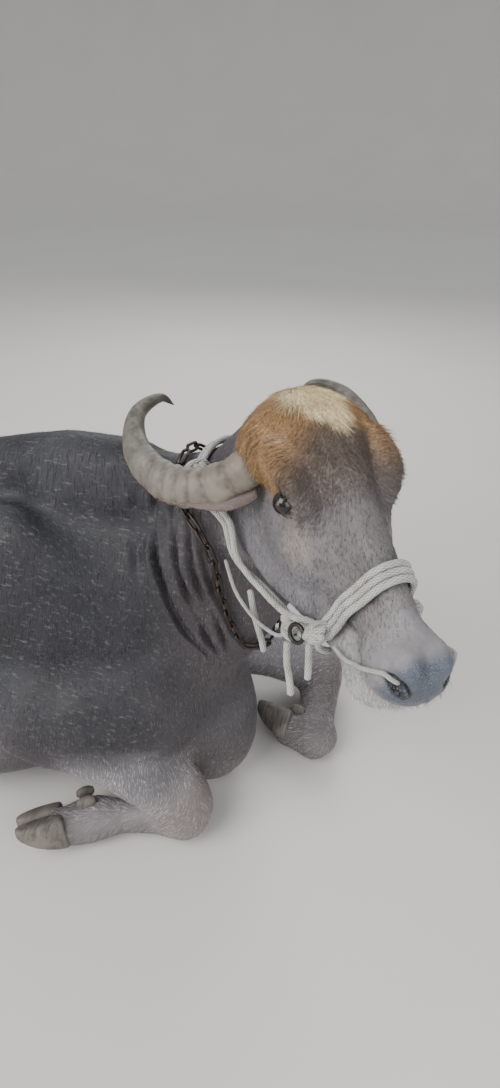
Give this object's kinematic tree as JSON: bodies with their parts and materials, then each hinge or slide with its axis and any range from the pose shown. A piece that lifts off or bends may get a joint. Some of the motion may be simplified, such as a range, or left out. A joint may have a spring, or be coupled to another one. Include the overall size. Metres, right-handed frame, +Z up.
{
  "type": "water buffalo, life-size lying model",
  "caption": "Life-size model of a water buffalo lying on its brisket with its head turned to the right, in a rope halter and a chain collar.",
  "frame": {"origin": "on the floor under the breastbone, on the body's middle plane", "axes": "+X forward along the body, +Y to the animal's left, +Z up"},
  "size_m": [2.0988, 1.0322, 1.1008],
  "materials": {
    "hide": "dark slate grey skin with sparse short hair",
    "face_hide": "grey-brown skin, rust-coloured hair on the crown, pale speckled muzzle",
    "ear_skin": "brown-pink skin with short hair",
    "switch_hair": "long coarse dark hair",
    "horn": "grey-tan horn, ridged across near the root",
    "hoof": "dull dark hoof horn, dusty",
    "eye": "wet dark eye",
    "rope": "soiled off-white braided cotton",
    "steel": "dark worn steel"
  },
  "bodies": {
    "root": {"head": "face_hide", "horn_right": "horn", "eye_right": "eye", "horn_left": "horn", "eye_left": "eye", "ear_right": "ear_skin", "ear_left": "ear_skin", "noseband": "rope", "headstall": "rope", "cheek_ring": "steel", "ring_knot": "rope", "nose_rope_right": "rope", "nose_rope_left": "rope", "knot_tail_long": "rope", "knot_tail_short": "rope", "strap_tail": "rope", "slack_strand": "rope", "foreleg_right": "hide", "foreleg_right_cannon": "hide", "foreleg_right_outer_claw": "hoof", "foreleg_right_inner_claw": "hoof", "foreleg_right_outer_dewclaw": "hoof", "foreleg_right_inner_dewclaw": "hoof", "foreleg_left": "hide", "foreleg_left_cannon": "hide", "foreleg_left_outer_claw": "hoof", "foreleg_left_inner_claw": "hoof", "foreleg_left_outer_dewclaw": "hoof", "foreleg_left_inner_dewclaw": "hoof", "hindleg_right": "hide", "hindleg_right_cannon": "hide", "hindleg_right_outer_claw": "hoof", "hindleg_right_inner_claw": "hoof", "hindleg_right_outer_dewclaw": "hoof", "hindleg_right_inner_dewclaw": "hoof", "hindleg_left": "hide", "hindleg_left_cannon": "hide", "hindleg_left_outer_claw": "hoof", "hindleg_left_inner_claw": "hoof", "hindleg_left_outer_dewclaw": "hoof", "hindleg_left_inner_dewclaw": "hoof", "tail": "hide", "tail_switch": "switch_hair", "neck": "hide", "torso": "hide", "chain_collar": "steel"}
  },
  "joints": []
}
